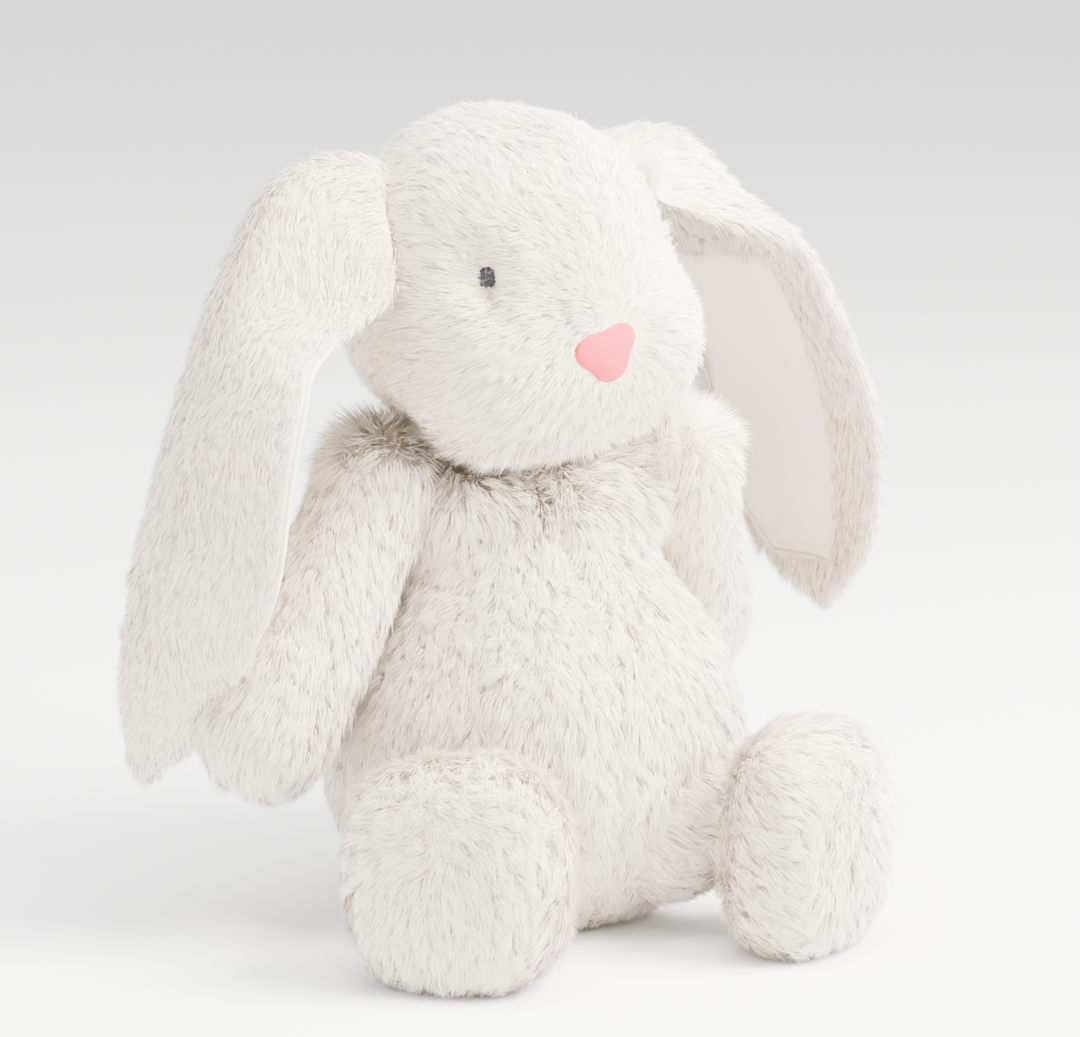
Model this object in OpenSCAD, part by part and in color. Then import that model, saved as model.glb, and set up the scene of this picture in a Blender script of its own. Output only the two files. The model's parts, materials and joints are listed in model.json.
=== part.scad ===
// Seated long-eared plush rabbit, sewn from fur fabric panels over loose stuffing.
// It faces -Y, its left side is +X, and the floor it sits on is z = 0.

/* [Fabric] */
// Thickness of the fur fabric, backing and combed pile together
fur_t = 4; // [2.5:0.5:5]
// Thickness of the smooth velour that lines the ears
velour_t = 2.5; // [1.5:0.5:4]
// Gap left between neighbouring pieces
gap = 0.3; // [0.2:0.1:0.6]

/* [Body] */
// Radius of the seat end of the pear-shaped body
hip_r = 72.5; // [66:0.5:73]
// Radius of the shoulder end of the body
chest_r = 47.5; // [42:0.5:48]
// Height of the centre of the seat end
hip_h = 61; // [56:1:63]
// Distance between the centres of the seat end and the shoulder end
body_rise = 46; // [40:1:48]
// Backward lean of the body, in degrees
body_lean = 8; // [4:1:10]
// Radius of the flat seat panel
seat_r = 36; // [28:1:38]
// Radius of the pellet bag inside the seat
pellet_r = 27; // [18:1:29]

/* [Head] */
// Radius of the head
head_r = 59; // [55:1:60]
// Height of the centre of the head above the floor
head_h = 221; // [219:1:226]
// Turn of the face towards the rabbit's left, in degrees
head_turn = 15; // [0:1:20]
// Tilt of the head towards the rabbit's right, in degrees
head_tilt = 4; // [0:1:5]
// Radius of the muzzle
muzzle_r = 35; // [30:1:38]
// Width of the gusset strip that runs over the top of the head
gusset_w = 34; // [24:1:44]
// Diameter of an embroidered eye
eye_d = 8; // [6:0.5:10]
// Width of the nose patch
nose_w = 24; // [18:1:28]

/* [Ears] */
// Greatest width of an ear
ear_w = 92; // [70:1:96]
// Width of an ear where it is sewn to the head
ear_root_w = 54; // [40:1:60]
// Radius of the rounded tip of an ear
ear_tip_r = 26; // [18:1:34]
// Bend radius of an ear where it folds over
ear_fold_r = 38; // [34:1:44]
// Curve radius of the hanging part of an ear
ear_hang_r = 280; // [240:5:300]
// Height of an ear's tip above the floor, before the head tilts
ear_tip_h = 72; // [66:1:90]

/* [Arms] */
// Radius of an arm at the shoulder
shoulder_r = 20; // [18:0.5:20.5]
// Radius of a paw
paw_r = 22; // [20:0.5:22.5]
// Length from the shoulder's centre to the paw's centre
arm_len = 91; // [72:1:92]

/* [Legs] */
// Radius of the thigh ball
thigh_r = 27; // [22:1:28]
// Radius of a foot, seen from its sole
foot_r = 37; // [32:1:38]
// Distance from the hip's centre to the face of the sole
leg_len = 72; // [68:1:75]
// Angle that each leg points away from straight ahead
leg_splay = 38; // [36:0.5:42]

/* [Tail] */
// Radius of the tail
tail_r = 16; // [12:1:17]

/* [Hidden] */
$fn = 64;
far = 400;
steps = 9;

neck = [0, 18, 158];
head_c = [0, 21, head_h];
pocket_room = 0.6;
pellet_y = 22;
pellet_lift = 3;
gather_r = 14;
gather_thick_r = 1.7;
shoulder = [57, 11, 151.5];
hip_reach = 52;
hip = [hip_reach * sin(leg_splay), -hip_reach * cos(leg_splay), foot_r + 1];
muzzle_c = [0, -20, -18];
chin_back = 8;
chin_top = -31;
eye_at = [39.5, -41.5, 12];
eye_t = 1.6;
thread_r = 0.6;
thread_inset = 7;
nose_height = -19;
nose_t = 2.2;
nose_corner_r = 4;
tail_c = [0, 91, 38];
tail_play = 3.5;
ear_root_angle = 46;
ear_rise = 18;
ear_fold = 54;
ear_end = 100;
ear_joint_lap = 0.5;
ear_clear = 9.5;
ear_back_t = fur_t + 1;
arm_right_dir = [-49, -20, -76];
arm_left_dir = [28.8, 56, -65.4];
stitch_count = 9;
stitch_from = 8;
stitch_step = 2.9;
stitch_len = 6;
stitch_r = 0.45;
foot_back_r = 18;
foot_back_at = 26;
sole_edge_r = 11;

fur = [0.93, 0.91, 0.87];
velour = [0.95, 0.92, 0.88];
filling = [0.97, 0.97, 0.96];
thread = [0.9, 0.88, 0.84];
pellets = [0.82, 0.8, 0.76];
black = [0.08, 0.08, 0.09];
pink = [0.96, 0.66, 0.68];

// Evenly spaced points on an arc
function arc_points(centre, r, from, to, count) =
    [for (i = [0 : count]) let (t = from + i * (to - from) / count) centre + r * [cos(t), sin(t)]];

// Outline, as radius and height, of two balls and the cone that joins them
function two_ball_outline(r1, r2, d) =
    let (a = asin((r1 - r2) / d))
    concat(arc_points([0, 0], r1, -90, a, steps), arc_points([0, d], r2, a, 90, steps));

// Outline of a leg: the thigh ball, the rounded back of the foot, and the flat sole
function leg_outline(inset) =
    concat(
        arc_points([0, 0], thigh_r - inset, -90, 40, steps),
        arc_points([foot_r - foot_back_r, leg_len - foot_back_at], foot_back_r - inset, -60, 0, 4),
        arc_points([foot_r - sole_edge_r, leg_len - sole_edge_r], sole_edge_r - inset, 0, 90, 4),
        [[0, leg_len - inset]]
    );

// Half of all space on the positive side of a plane through the origin
module half_space(axis) {
    if (axis == "x") translate([gap / 2, -far, -far]) cube([far, 2 * far, 2 * far]);
    if (axis == "-x") mirror([1, 0, 0]) half_space("x");
    if (axis == "y") translate([-far, gap / 2, -far]) cube([2 * far, far, 2 * far]);
    if (axis == "-y") mirror([0, 1, 0]) half_space("y");
    if (axis == "z") translate([-far, -far, gap / 2]) cube([2 * far, 2 * far, far]);
    if (axis == "-z") mirror([0, 0, 1]) half_space("z");
}

// Turns a shape that is built along +Z to point along a direction
module aim(dir) {
    rotate([0, acos(dir.z / norm(dir)), atan2(dir.y, dir.x)]) children();
}

module on_side(side) {
    if (side > 0) children();
    if (side < 0) mirror([1, 0, 0]) children();
}

// Body

module body_frame() {
    rotate([-body_lean, 0, 0]) children();
}

module body_form(inset) {
    body_frame() translate([0, 0, hip_h])
        rotate_extrude() polygon(two_ball_outline(hip_r - inset, chest_r - inset, body_rise));
}

// The pockets that the limbs and the tail turn in
module body_pockets() {
    for (side = [-1, 1]) {
        translate([side * shoulder.x, shoulder.y, shoulder.z]) sphere(shoulder_r + pocket_room);
        translate([side * hip.x, hip.y, hip.z]) sphere(thigh_r + pocket_room);
    }
    translate(tail_c) sphere(tail_r + tail_play);
}

module above_floor(z) {
    translate([-far, -far, z]) cube([2 * far, 2 * far, far]);
}

module seat_cut() {
    translate([0, 0, -1]) cylinder(r = seat_r + gap, h = fur_t + 1 + gap);
}

module body_panel(front, side) {
    color(fur) difference() {
        intersection() {
            body_form(0);
            above_floor(0);
            body_frame() half_space(front ? "-y" : "y");
            half_space(side > 0 ? "x" : "-x");
        }
        body_form(fur_t);
        seat_cut();
        body_pockets();
    }
}

module seat_panel() {
    color(fur) cylinder(r = seat_r, h = fur_t);
}

module pellet_form(extra) {
    translate([0, pellet_y, fur_t + pellet_lift + pellet_r]) sphere(pellet_r + extra);
}

module body_stuffing() {
    color(filling) difference() {
        intersection() {
            body_form(fur_t + gap);
            above_floor(fur_t + gap);
        }
        body_pockets();
        pellet_form(gap);
    }
}

module pellet_bag() {
    color(pellets) pellet_form(0);
}

// Ladder stitches that close the back seam after filling
module closing_stitches() {
    color(thread) body_frame() for (i = [0 : stitch_count - 1])
        translate([0, 0, hip_h]) rotate([stitch_from + i * stitch_step, 0, 0])
            translate([-stitch_len / 2, hip_r + stitch_r + gap, 0]) rotate([0, 90, 0])
                cylinder(r = stitch_r, h = stitch_len);
}

// Neck

module neck_gather() {
    color(fur) translate(neck) rotate_extrude() translate([gather_r, 0]) circle(gather_thick_r, $fn = 24);
}

// Head

module at_head() {
    translate(neck) rotate([0, 0, head_turn]) rotate([0, -head_tilt, 0]) translate(-neck)
        translate(head_c) children();
}

// The round skull runs on into the muzzle, low at the front
module head_form(inset) {
    aim(muzzle_c) rotate_extrude()
        polygon(two_ball_outline(head_r - inset, muzzle_r - inset, norm(muzzle_c)));
}

module head_shell() {
    difference() {
        head_form(0);
        head_form(fur_t);
    }
}

module middle_strip() {
    translate([-gusset_w / 2, -far, -far]) cube([gusset_w, 2 * far, 2 * far]);
}

module chin_zone(extra) {
    translate([-far, -far, -far]) cube([2 * far, far + chin_back + extra, far + chin_top + extra]);
}

module head_side(side) {
    color(fur) at_head() difference() {
        intersection() {
            head_form(0);
            on_side(side) translate([gusset_w / 2 + gap, -far, -far]) cube([far, 2 * far, 2 * far]);
        }
        head_form(fur_t);
    }
}

module head_gusset() {
    color(fur) at_head() difference() {
        intersection() {
            head_shell();
            middle_strip();
        }
        chin_zone(gap);
    }
}

module chin_panel() {
    color(fur) at_head() intersection() {
        head_shell();
        middle_strip();
        chin_zone(0);
    }
}

module thread_line(r) {
    translate([thread_inset - eye_at.x, eye_at.y + thread_inset, eye_at.z]) rotate([0, 90, 0])
        cylinder(r = r, h = 2 * (eye_at.x - thread_inset));
}

module head_stuffing() {
    color(filling) at_head() difference() {
        head_form(fur_t + gap);
        thread_line(thread_r + gap);
    }
}

module eye_pull_thread() {
    color(thread) at_head() thread_line(thread_r);
}

module eye(side) {
    color(black) at_head() intersection() {
        difference() {
            sphere(head_r + eye_t);
            sphere(head_r + gap);
        }
        aim([side * eye_at.x, eye_at.y, eye_at.z]) cylinder(d = eye_d, h = head_r + 5);
    }
}

module nose_patch() {
    color(pink) at_head() intersection() {
        difference() {
            head_form(-nose_t);
            head_form(-gap);
        }
        translate([0, 0, nose_height]) rotate([90, 0, 0]) linear_extrude(height = 100) hull() {
            for (side = [-1, 1]) translate([side * (nose_w / 2 - nose_corner_r), 4.5]) circle(nose_corner_r);
            translate([0, -6]) circle(nose_corner_r);
        }
    }
}

// Ears

// Where an ear turns, measured from the centre of the head
function ear_pivot() = (head_r + ear_clear) * [sin(ear_root_angle), 0, cos(ear_root_angle)];

// Part of a flat ring, from one angle round to another
module ring_sector(r_in, r_out, from, to) {
    mid = (from + to) / 2;
    intersection() {
        difference() {
            circle(r_out, $fn = 180);
            circle(r_in, $fn = 180);
        }
        polygon([[0, 0], for (a = [from, mid, to]) 2 * far * [cos(a), sin(a)]]);
    }
}

// Side view of one fabric layer of an ear: it rises from its root, folds over and hangs
module ear_layer(low, high) {
    fold_c = ear_fold_r * [sin(ear_rise), -cos(ear_rise)];
    hang_c = fold_c - (ear_hang_r - ear_fold_r) * [cos(90 - ear_fold), sin(90 - ear_fold)];
    translate([ear_pivot().x, ear_pivot().z]) {
        translate(fold_c) ring_sector(ear_fold_r + low, ear_fold_r + high, 90 - ear_fold, 90 + ear_rise);
        translate(hang_c) ring_sector(ear_hang_r + low, ear_hang_r + high, 90 - ear_end, 90 - ear_fold + ear_joint_lap);
    }
}

// Front-to-back outline of an ear, seen from its side
module ear_shape() {
    tip_z = ear_tip_h - head_h + ear_tip_r;
    wide_z = tip_z + 38;
    root_z = ear_pivot().z - 14;
    translate([0, tip_z]) round_taper(ear_tip_r, ear_w / 2, wide_z - tip_z);
    translate([0, wide_z]) round_taper(ear_w / 2, ear_root_w / 2, root_z - wide_z);
    translate([-ear_root_w / 2, root_z]) square([ear_root_w, 60]);
}

// Flat outline of two circles and the straight sides that join them
module round_taper(r1, r2, d) {
    half = two_ball_outline(r1, r2, d);
    polygon(concat(half, [for (i = [len(half) - 2 : -1 : 1]) [-half[i].x, half[i].y]]));
}

module ear_piece(side, low, high) {
    at_head() on_side(side) intersection() {
        rotate([90, 0, 0]) linear_extrude(height = 2 * ear_w, center = true) ear_layer(low, high);
        rotate([90, 0, 90]) linear_extrude(height = far) ear_shape();
    }
}

module ear_back(side) {
    color(fur) ear_piece(side, 0, ear_back_t);
}

module ear_lining(side) {
    color(velour) ear_piece(side, -velour_t - gap, -gap);
}

// Arms

module at_arm(side) {
    dir = side > 0 ? arm_left_dir : arm_right_dir;
    translate([side * shoulder.x, shoulder.y, shoulder.z]) aim(dir) children();
}

module arm_form(inset) {
    rotate_extrude() polygon(two_ball_outline(shoulder_r - inset, paw_r - inset, arm_len));
}

module arm_half(side, front) {
    color(fur) at_arm(side) difference() {
        intersection() {
            arm_form(0);
            half_space(front ? "y" : "-y");
        }
        arm_form(fur_t);
    }
}

module arm_stuffing(side) {
    color(filling) at_arm(side) arm_form(fur_t + gap);
}

// Legs

module at_leg(side) {
    translate([side * hip.x, hip.y, hip.z]) rotate([0, 0, side * leg_splay]) rotate([90, 0, 0]) children();
}

module leg_form(inset) {
    rotate_extrude() polygon(leg_outline(inset));
}

module sole_disc(extra) {
    translate([0, 0, leg_len - fur_t - extra]) cylinder(r = foot_r - sole_edge_r + extra, h = fur_t + 2 * extra);
}

module leg_half(side, top) {
    color(fur) at_leg(side) difference() {
        intersection() {
            leg_form(0);
            half_space(top ? "y" : "-y");
        }
        leg_form(fur_t);
        sole_disc(gap);
    }
}

module foot_sole(side) {
    color(fur) at_leg(side) sole_disc(0);
}

module leg_stuffing(side) {
    color(filling) at_leg(side) leg_form(fur_t + 2 * gap);
}

// Tail

module tail_cover() {
    color(fur) translate(tail_c) difference() {
        sphere(tail_r);
        sphere(tail_r - fur_t);
    }
}

module tail_stuffing() {
    color(filling) translate(tail_c) sphere(tail_r - fur_t - gap);
}

body_panel(true, 1);  // belly_left
body_panel(true, -1);  // belly_right
body_panel(false, 1);  // back_left
body_panel(false, -1);  // back_right
seat_panel();
body_stuffing();
pellet_bag();
closing_stitches();
neck_gather();
head_side(1);  // head_side_left
head_side(-1);  // head_side_right
head_gusset();
chin_panel();
head_stuffing();
eye(1);  // eye_left
eye(-1);  // eye_right
eye_pull_thread();
nose_patch();
ear_back(1);  // ear_back_left
ear_back(-1);  // ear_back_right
ear_lining(1);  // ear_lining_left
ear_lining(-1);  // ear_lining_right
arm_half(1, true);  // arm_front_left
arm_half(-1, true);  // arm_front_right
arm_half(1, false);  // arm_back_left
arm_half(-1, false);  // arm_back_right
arm_stuffing(1);  // arm_stuffing_left
arm_stuffing(-1);  // arm_stuffing_right
leg_half(1, true);  // leg_top_left
leg_half(-1, true);  // leg_top_right
leg_half(1, false);  // leg_under_left
leg_half(-1, false);  // leg_under_right
foot_sole(1);  // foot_sole_left
foot_sole(-1);  // foot_sole_right
leg_stuffing(1);  // leg_stuffing_left
leg_stuffing(-1);  // leg_stuffing_right
tail_cover();
tail_stuffing();
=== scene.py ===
import json
import math

import bmesh
import bpy
import numpy as np
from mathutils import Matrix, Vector
from mathutils.bvhtree import BVHTree


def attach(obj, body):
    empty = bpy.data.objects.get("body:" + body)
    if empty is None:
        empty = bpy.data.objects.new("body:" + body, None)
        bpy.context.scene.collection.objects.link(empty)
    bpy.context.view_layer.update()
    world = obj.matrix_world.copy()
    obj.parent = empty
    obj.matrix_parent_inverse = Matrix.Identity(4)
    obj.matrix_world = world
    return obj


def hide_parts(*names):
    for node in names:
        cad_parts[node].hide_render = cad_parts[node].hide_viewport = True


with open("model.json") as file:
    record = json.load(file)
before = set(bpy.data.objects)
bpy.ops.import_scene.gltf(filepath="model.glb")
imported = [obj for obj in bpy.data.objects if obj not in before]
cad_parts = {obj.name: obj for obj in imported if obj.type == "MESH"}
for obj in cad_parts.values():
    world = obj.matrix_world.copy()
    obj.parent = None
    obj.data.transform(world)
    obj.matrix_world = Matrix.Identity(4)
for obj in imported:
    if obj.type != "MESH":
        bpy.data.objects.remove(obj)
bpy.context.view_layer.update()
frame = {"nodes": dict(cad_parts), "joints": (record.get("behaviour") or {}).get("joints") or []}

# Shapes are worked out in millimetres and turned into metres as each mesh is made
mm = 0.001
pivots = {joint["name"]: np.array(joint["pos_m"]) / mm for joint in frame["joints"]}
up = np.array([0.0, 0.0, 1.0])


# Small helpers

def unit(vectors):
    return vectors / np.maximum(np.linalg.norm(vectors, axis=-1, keepdims=True), 1e-9)


def drift(points, size, seed):
    # Smooth wandering value, mostly from -1 to 1, that changes over about size millimetres
    rng = np.random.default_rng(seed)
    pull = unit(rng.normal(size=(9, 3))) * rng.uniform(0.7, 1.6, (9, 1)) * math.tau / (2.6 * size)
    return np.sin(points @ pull.T + rng.uniform(0, math.tau, 9)).sum(1) / 3.6


def turned(axis, degrees):
    a = unit(np.array(axis, float))
    t = math.radians(degrees)
    cross = np.array([[0, -a[2], a[1]], [a[2], 0, -a[0]], [-a[1], a[0], 0]])
    return np.eye(3) + math.sin(t) * cross + (1 - math.cos(t)) * cross @ cross


def aimed(direction):
    # Frame whose third axis points along a direction, the same way as the arms and legs are laid out
    d = unit(np.array(direction, float))
    heading, fall = math.degrees(math.atan2(d[1], d[0])), math.degrees(math.acos(d[2]))
    return turned((0, 0, 1), heading) @ turned((0, 1, 0), fall)


class Place:
    # A part's own frame: points go from the part to the room with out(), and back with back()
    def __init__(self, origin, turn):
        self.origin = np.array(origin, float)
        self.turn = turn

    def out(self, points):
        return points @ self.turn.T + self.origin

    def back(self, points):
        return (points - self.origin) @ self.turn


def ball(p, centre, radius):
    return np.linalg.norm(p - np.array(centre), axis=1) - radius


def twoBalls(p, start, end, r1, r2):
    # Distance to a ball at start, a ball at end and the cone that joins them
    a, b = np.array(start, float), np.array(end, float)
    length = np.linalg.norm(b - a)
    axis = (b - a) / length
    along = (p - a) @ axis
    out = np.linalg.norm(p - a - along[:, None] * axis, axis=1)
    slope = (r1 - r2) / length
    side = math.sqrt(1 - slope * slope)
    foot = along * side - out * slope
    cone = out * side + along * slope - r1
    return np.where(foot < 0, np.hypot(out, along) - r1,
                    np.where(foot > length * side, np.hypot(out, along - length) - r2, cone))


def blended(first, second, width):
    share = np.clip(0.5 + 0.5 * (second - first) / width, 0, 1)
    return second * (1 - share) + first * share - width * share * (1 - share)


def hump(distance, width):
    return np.exp(-(distance / width) ** 2)


# The rabbit's forms, each a distance field in its part's own frame

body = dict(lean=8, hipR=72.5, hipH=61, chestR=47.5, rise=46, seatR=36, tummyForward=16,
            shoulderReach=27, shoulderR=23, shoulderY=14, shoulderH=141, underside=2.5)
head = dict(radius=58.5, muzzleR=36, muzzle=(0, -20, -18), lift=63, turn=15, tilt=4, gusset=17,
            cheek=(26, -24, -20), cheekR=32, crown=(0, 4, 8), crownR=53, chinTop=-31, chinBack=8)
arm = dict(shoulderR=21, pawR=23.5, length=91, crease=18)
armDirections = {"left": (28.8, 56, -65.4), "right": (-49, -20, -76)}
leg = dict(thighR=27, footHalfWidth=36.5, footHalfHeight=39, footHalfThick=22.5, footOut=52, splay=38,
           squareness=2.7, soleIn=12)
tail = dict(radius=16)
sides = {"left": 1, "right": -1}

bodyPlace = Place((0, 0, 0), turned((1, 0, 0), -body["lean"]))
headTurn = turned((0, 0, 1), head["turn"]) @ turned((0, 1, 0), -head["tilt"])
headPlace = Place(pivots["neck_turn"] + headTurn @ np.array([0, 3, head["lift"]]), headTurn)
armPlaces = {s: Place(pivots[f"arm_{s}_swing"], aimed(armDirections[s])) for s in sides}
legPlaces = {s: Place(pivots[f"leg_{s}_raise"], turned((0, 0, 1), leg["splay"] * sides[s])) for s in sides}
tailPlace = Place(pivots["tail_wag"] + np.array([0, 11, 0]), np.eye(3))


def bodyField(p):
    low = (0, 0, body["hipH"])
    high = (0, 0, body["hipH"] + body["rise"])
    form = twoBalls(p, low, high, body["hipR"], body["chestR"])
    tummy = ball(p, (0, -body["tummyForward"], body["hipH"] + 2), body["hipR"] - body["tummyForward"] + 1)
    form = blended(form, tummy, 14)
    world = bodyPlace.out(p)
    reach = np.array([body["shoulderReach"], 0, 0])
    middle = np.array([0, body["shoulderY"], body["shoulderH"]])
    yoke = twoBalls(world, middle - reach, middle + reach, body["shoulderR"], body["shoulderR"] - 0.01)
    form = blended(form, yoke, 12)
    return np.maximum(form, body["underside"] - world[:, 2])


def headField(p):
    skull = twoBalls(p, (0, 0, 0), head["muzzle"], head["radius"], head["muzzleR"])
    cheeks = ball(np.abs(p) * (1, 0, 0) + p * (0, 1, 1), head["cheek"], head["cheekR"])
    form = blended(skull, cheeks, 10)
    return blended(form, ball(p, head["crown"], head["crownR"]), 8)


def armField(p):
    limb = twoBalls(p, (0, 0, 0), (0, 0, arm["length"]), arm["shoulderR"], arm["pawR"])
    return limb + 1.2 * hump(p[:, 2] - arm["crease"], 14)


def legField(p):
    # In a leg's own frame it points along -Y, and the sole's face is upright
    thigh = ball(p, (0, 2, 0), leg["thighR"])
    q = p - np.array([0, -leg["footOut"], 0])
    half = np.array([leg["footHalfWidth"], leg["footHalfThick"], leg["footHalfHeight"]])
    power = leg["squareness"]
    foot = (np.power(np.power(np.abs(q) / half, power).sum(1), 1 / power) - 1) * half.min() * 1.15
    form = blended(thigh, foot, 13)
    return np.maximum(form, body["underside"] - (p[:, 2] + pivots["leg_left_raise"][2]))


def tailField(p):
    return ball(p, (0, 0, 0), tail["radius"] - 1)


# Skins: closed sewn covers, puffed out against their pinned seams

def steepness(field, p):
    step = 0.4
    return np.stack([field(p + step * e) - field(p - step * e) for e in np.eye(3)], 1) / (2 * step)


def shrinkOnto(field, p, rounds=30):
    for _ in range(rounds):
        g = steepness(field, p)
        p = p - 0.7 * (field(p) / np.maximum((g * g).sum(1), 0.05))[:, None] * g
    return p


def meshFrom(name, points, faces):
    mesh = bpy.data.meshes.new(name)
    mesh.from_pydata((points * mm).tolist(), [], faces)
    mesh.update()
    obj = bpy.data.objects.new(name, mesh)
    bpy.context.scene.collection.objects.link(obj)
    return obj


def pointsOf(mesh):
    co = np.empty(len(mesh.vertices) * 3, np.float32)
    mesh.vertices.foreach_get("co", co)
    return co.reshape(-1, 3).astype(float) / mm


def putPoints(mesh, points):
    mesh.vertices.foreach_set("co", (points * mm).astype(np.float32).ravel())
    mesh.update()


def bakeModifiers(obj):
    graph = bpy.context.evaluated_depsgraph_get()
    mesh = bpy.data.meshes.new_from_object(obj.evaluated_get(graph))
    obj.modifiers.clear()
    old = obj.data
    obj.data = mesh
    bpy.data.meshes.remove(old)
    return obj


def closedForm(name, field, place, centre, size, voxel=4.6):
    bm = bmesh.new()
    bmesh.ops.create_icosphere(bm, subdivisions=6, radius=1)
    p = np.array([v.co for v in bm.verts]) * np.array(size) + np.array(centre)
    p = shrinkOnto(field, p)
    faces = [[v.index for v in f.verts] for f in bm.faces]
    bm.free()
    obj = meshFrom(name, place.out(p), faces)
    remesh = obj.modifiers.new("even", "REMESH")
    remesh.mode = "VOXEL"
    remesh.voxel_size = voxel * mm
    bakeModifiers(obj)
    putPoints(obj.data, place.out(shrinkOnto(field, place.back(pointsOf(obj.data)), 8)))
    return obj


forms = {}


def addForm(key, field, place, centre, size, seams):
    obj = closedForm(f"{key}Form", field, place, centre, size)
    forms[key] = dict(obj=obj, field=field, place=place, seams=seams)


noSeam = 99.0  # a distance too long to matter


def bodySeams(p):
    # How far a point is from the nearest seam: front and back centre seams, side seams, seat edge
    world = bodyPlace.out(p)
    seat = np.hypot(np.hypot(world[:, 0], world[:, 1]) - body["seatR"], np.maximum(world[:, 2] - 3, 0))
    return np.minimum(np.minimum(np.abs(p[:, 0]), np.abs(p[:, 1])), seat)


def headSeams(p):
    gusset = np.abs(np.abs(p[:, 0]) - head["gusset"])
    chin = np.where(np.abs(p[:, 0]) < head["gusset"], np.abs(p[:, 2] - head["chinTop"]), noSeam)
    return np.minimum(gusset, chin)


def armSeams(p):
    return np.abs(p[:, 1])


soleAt = -leg["footOut"] - leg["soleIn"]


def legSeams(p):
    return np.minimum(np.abs(p[:, 1] - soleAt), np.where(p[:, 1] > soleAt, np.abs(p[:, 2]), noSeam))


addForm("body", bodyField, bodyPlace, (0, 0, 80), (66, 66, 78), bodySeams)
addForm("head", headField, headPlace, (0, -5, -4), (58, 60, 58), headSeams)
for s in sides:
    addForm(f"arm_{s}", armField, armPlaces[s], (0, 0, arm["length"] / 2), (23, 23, 66), armSeams)
    addForm(f"leg_{s}", legField, legPlaces[s], (0, -28, 0), (32, 46, 34), legSeams)
addForm("tail", tailField, tailPlace, (0, 0, 0), (15, 15, 15), lambda p: np.full(len(p), noSeam))
print("forms made")

puff = dict(pressure=4.0, frames=20, cap=2.6, floor=1.6, drawnIn=1.1, pinWidth=2.6, pinHeight=5,
            mass=0.2, stretch=12, bending=0.6)


def puffForms():
    # The covers swell between their pinned seams, all in one cloth simulation
    scene = bpy.context.scene
    scene.frame_start, scene.frame_end = 1, puff["frames"]
    before = {}
    for key, form in forms.items():
        if key == "tail":
            continue
        obj = form["obj"]
        start = pointsOf(obj.data)
        local = form["place"].back(start)
        outward = unit(steepness(form["field"], local)) @ form["place"].turn.T
        start = start - puff["drawnIn"] * outward
        putPoints(obj.data, start)
        before[key] = start
        pinned = (form["seams"](local) < puff["pinWidth"]) | (start[:, 2] < puff["pinHeight"])
        group = obj.vertex_groups.new(name="pins")
        group.add(np.nonzero(pinned)[0].tolist(), 1.0, "REPLACE")
        cloth = obj.modifiers.new("puff", "CLOTH")
        cloth.settings.use_pressure = True
        cloth.settings.uniform_pressure_force = puff["pressure"]
        cloth.settings.effector_weights.gravity = 0
        cloth.settings.vertex_group_mass = "pins"
        cloth.settings.mass = puff["mass"]
        cloth.settings.tension_stiffness = puff["stretch"]
        cloth.settings.compression_stiffness = puff["stretch"]
        cloth.settings.bending_stiffness = puff["bending"]
        cloth.point_cache.frame_start, cloth.point_cache.frame_end = 1, puff["frames"]
    for f in range(1, puff["frames"] + 1):
        scene.frame_set(f)
    for key, start in before.items():
        obj = forms[key]["obj"]
        bakeModifiers(obj)
        moved = pointsOf(obj.data) - start
        far = np.linalg.norm(moved, axis=1, keepdims=True)
        moved *= np.minimum(1, puff["cap"] / np.maximum(far, 1e-6))
        end = start + moved
        end[:, 2] = np.maximum(end[:, 2], puff["floor"])
        putPoints(obj.data, end)
    scene.frame_set(1)


puffForms()
print("covers puffed")

dimples = dict(eye=(39.5, -41.5, 12), eyeDepth=5.2, eyeWidth=10,
               creaseDepth=3.4, creaseLength=17, creaseWidth=6, creaseDown=6)
seamCut = dict(body=1.3, head=0.5, arm=0.7, leg=0.8, tail=0.0)
seamWidth = 3.0


def eyeDents(p):
    # The eyes are pulled in, with a shallow fold that runs down past each towards the nose
    dent = np.zeros(len(p))
    for side in sides.values():
        eye = np.array(dimples["eye"]) * (side, 1, 1)
        away = p - eye
        fold = unit(np.array([-side * 0.25, -0.25, -0.93]))
        along = away @ fold
        out = np.linalg.norm(away - along[:, None] * fold, axis=1)
        dent += dimples["eyeDepth"] * hump(np.linalg.norm(away, axis=1), dimples["eyeWidth"])
        length = hump(along - dimples["creaseDown"], dimples["creaseLength"])
        dent += dimples["creaseDepth"] * hump(out, dimples["creaseWidth"]) * length
    return dent


def finishForms():
    for key, form in forms.items():
        obj = form["obj"]
        smooth = obj.modifiers.new("smooth", "SUBSURF")
        smooth.levels = smooth.render_levels = 1
        bakeModifiers(obj)
        p = pointsOf(obj.data)
        local = form["place"].back(p)
        outward = unit(steepness(form["field"], local)) @ form["place"].turn.T
        kind = key.split("_")[0]
        groove = seamCut[kind] * hump(form["seams"](local), seamWidth)
        push = 0.9 * drift(p, 24, 3) + 0.5 * drift(p, 9, 4) - groove
        if kind == "head":
            push = 0.5 * push - eyeDents(local)
        p = p + push[:, None] * outward
        p[:, 2] = np.maximum(p[:, 2], puff["floor"])
        putPoints(obj.data, p)


finishForms()
print("covers finished")


# Materials

def newMaterial(name, roughness, sheen=0.0, sheenRoughness=0.5, specular=0.3):
    material = bpy.data.materials.new(name)
    material.use_nodes = True
    shader = material.node_tree.nodes["Principled BSDF"]
    shader.inputs["Roughness"].default_value = roughness
    shader.inputs["Sheen Weight"].default_value = sheen
    shader.inputs["Sheen Roughness"].default_value = sheenRoughness
    shader.inputs["Specular IOR Level"].default_value = specular
    return material, material.node_tree, shader


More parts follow.
